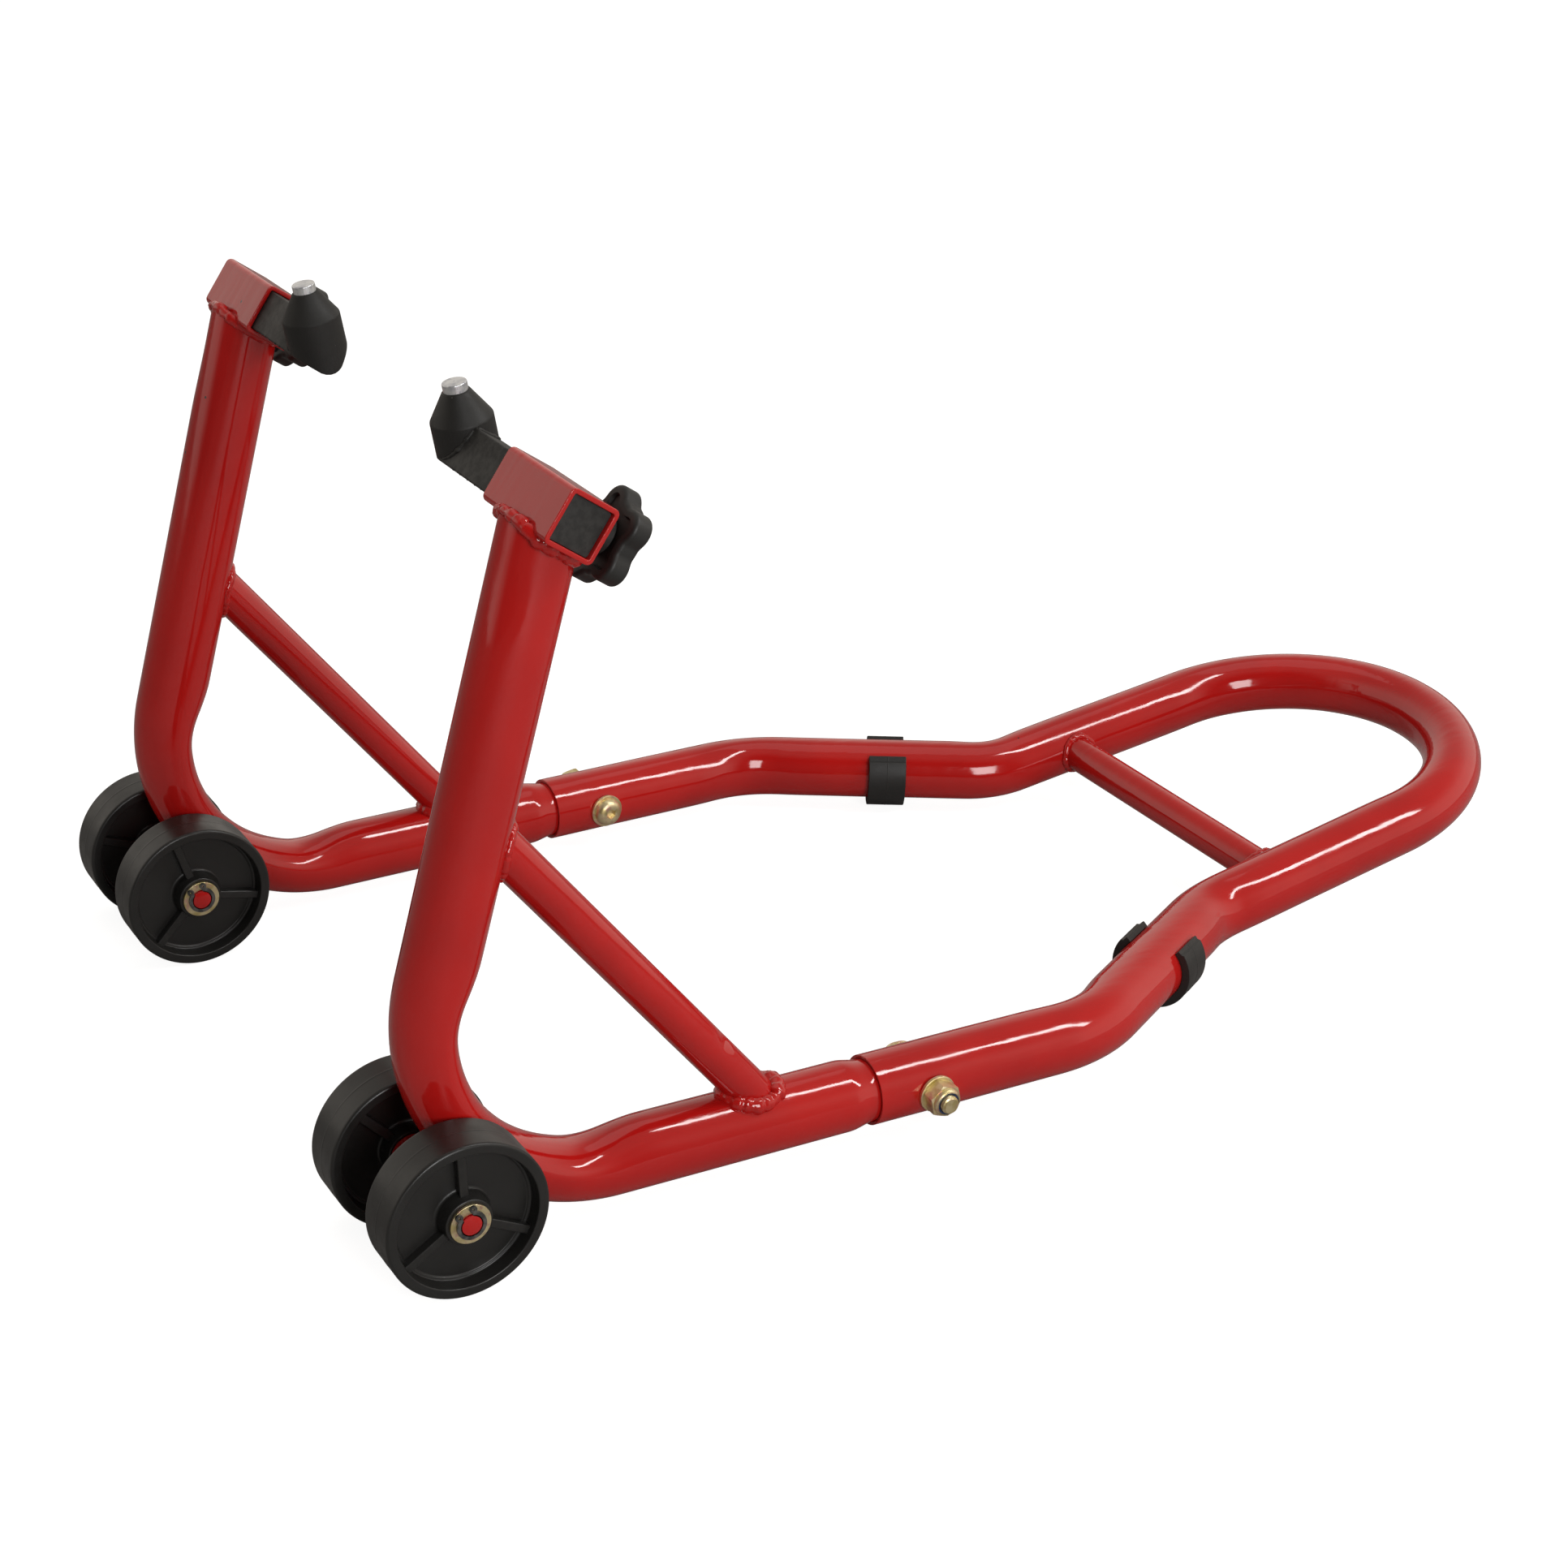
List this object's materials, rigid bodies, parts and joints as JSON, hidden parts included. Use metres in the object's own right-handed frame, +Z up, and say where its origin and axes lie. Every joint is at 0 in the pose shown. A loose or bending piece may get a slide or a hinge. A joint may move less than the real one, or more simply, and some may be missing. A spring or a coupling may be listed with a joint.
{
  "type": "motorcycle front paddock stand",
  "caption": "Wheeled tubular stand that lifts a motorcycle's front fork on two sliding cone heads, with leaning arms and a hoop lever handle.",
  "frame": {"origin": "on the floor, under the middle of the stand's bounding box", "axes": "+X from the wheels to the hoop handle, +Y to the right of a person who stands at the handle and looks to the wheels, +Z up"},
  "size_m": [0.8459, 0.4714, 0.4056],
  "materials": {
    "red_paint": "gloss powder coat",
    "black_paint": "matt paint",
    "wheel_plastic": "satin moulded",
    "black_plastic": "matt moulded",
    "yellow_zinc": "yellow passivated zinc",
    "bright_zinc": "bright zinc",
    "blue_nylon": "moulded",
    "black_spring_steel": "blackened"
  },
  "bodies": {
    "frame": {"handle_tube": "red_paint", "cross_tube": "red_paint", "left_arm_tube": "red_paint", "right_arm_tube": "red_paint", "left_brace": "red_paint", "right_brace": "red_paint", "left_bar_housing": "red_paint", "right_bar_housing": "red_paint", "left_axle_sleeve": "red_paint", "right_axle_sleeve": "red_paint", "left_axle": "red_paint", "right_axle": "red_paint", "left_clamp_nut": "red_paint", "right_clamp_nut": "red_paint", "left_bolt_washers": "yellow_zinc", "right_bolt_washers": "yellow_zinc", "left_joint_bolt": "yellow_zinc", "right_joint_bolt": "yellow_zinc", "left_lock_nut": "yellow_zinc", "right_lock_nut": "yellow_zinc", "left_nylon_ring": "blue_nylon", "right_nylon_ring": "blue_nylon", "left_circlips": "black_spring_steel", "right_circlips": "black_spring_steel", "left_floor_clip": "black_plastic", "right_floor_clip": "black_plastic", "left_wheel_washers": "yellow_zinc", "right_wheel_washers": "yellow_zinc"},
    "left_slide": {"left_slide_bar": "black_paint", "left_bar_plug": "black_plastic", "left_lifting_head": "black_paint", "left_lifting_pin": "bright_zinc"},
    "left_clamp_screw": {"left_clamp_screw": "bright_zinc"},
    "left_clamp_knob": {"left_clamp_knob": "black_plastic"},
    "left_outer_wheel": {"left_outer_wheel": "wheel_plastic"},
    "left_inner_wheel": {"left_inner_wheel": "wheel_plastic"},
    "right_slide": {"right_slide_bar": "black_paint", "right_bar_plug": "black_plastic", "right_lifting_head": "black_paint", "right_lifting_pin": "bright_zinc"},
    "right_clamp_screw": {"right_clamp_screw": "bright_zinc"},
    "right_clamp_knob": {"right_clamp_knob": "black_plastic"},
    "right_outer_wheel": {"right_outer_wheel": "wheel_plastic"},
    "right_inner_wheel": {"right_inner_wheel": "wheel_plastic"}
  },
  "joints": [
    {"name": "left_outer_wheel_spin", "type": "hinge", "parent": "frame", "child": "left_outer_wheel", "pos_m": [-0.38103, -0.21875, 0.042], "axis": [0, 1, 0], "continuous": true},
    {"name": "left_inner_wheel_spin", "type": "hinge", "parent": "frame", "child": "left_inner_wheel", "pos_m": [-0.38103, -0.15125, 0.042], "axis": [0, 1, 0], "continuous": true},
    {"name": "left_bar_slide", "type": "slide", "parent": "frame", "child": "left_slide", "axis": [0, -1, 0], "range_m": [-0.018, 0.038]},
    {"name": "left_clamp_advance", "type": "slide", "parent": "frame", "child": "left_clamp_screw", "axis": [0.832, 0, -0.5548], "range_m": [0, 0.0025]},
    {"name": "left_clamp_turn", "type": "hinge", "parent": "left_clamp_screw", "child": "left_clamp_knob", "pos_m": [-0.31381, -0.187, 0.371], "axis": [0.832, 0, -0.5548], "range_deg": [0, 720]},
    {"name": "right_outer_wheel_spin", "type": "hinge", "parent": "frame", "child": "right_outer_wheel", "pos_m": [-0.38103, 0.21875, 0.042], "axis": [0, 1, 0], "continuous": true},
    {"name": "right_inner_wheel_spin", "type": "hinge", "parent": "frame", "child": "right_inner_wheel", "pos_m": [-0.38103, 0.15125, 0.042], "axis": [0, 1, 0], "continuous": true},
    {"name": "right_bar_slide", "type": "slide", "parent": "frame", "child": "right_slide", "axis": [0, 1, 0], "range_m": [-0.018, 0.038]},
    {"name": "right_clamp_advance", "type": "slide", "parent": "frame", "child": "right_clamp_screw", "axis": [0.832, 0, -0.5548], "range_m": [0, 0.0025]},
    {"name": "right_clamp_turn", "type": "hinge", "parent": "right_clamp_screw", "child": "right_clamp_knob", "pos_m": [-0.31381, 0.187, 0.371], "axis": [0.832, 0, -0.5548], "range_deg": [0, 720]}
  ],
  "couplings": [
    {"joint": "left_clamp_turn", "follows": "left_clamp_advance", "rad_per_m": 5026.5},
    {"joint": "right_clamp_turn", "follows": "right_clamp_advance", "rad_per_m": 5026.5}
  ]
}
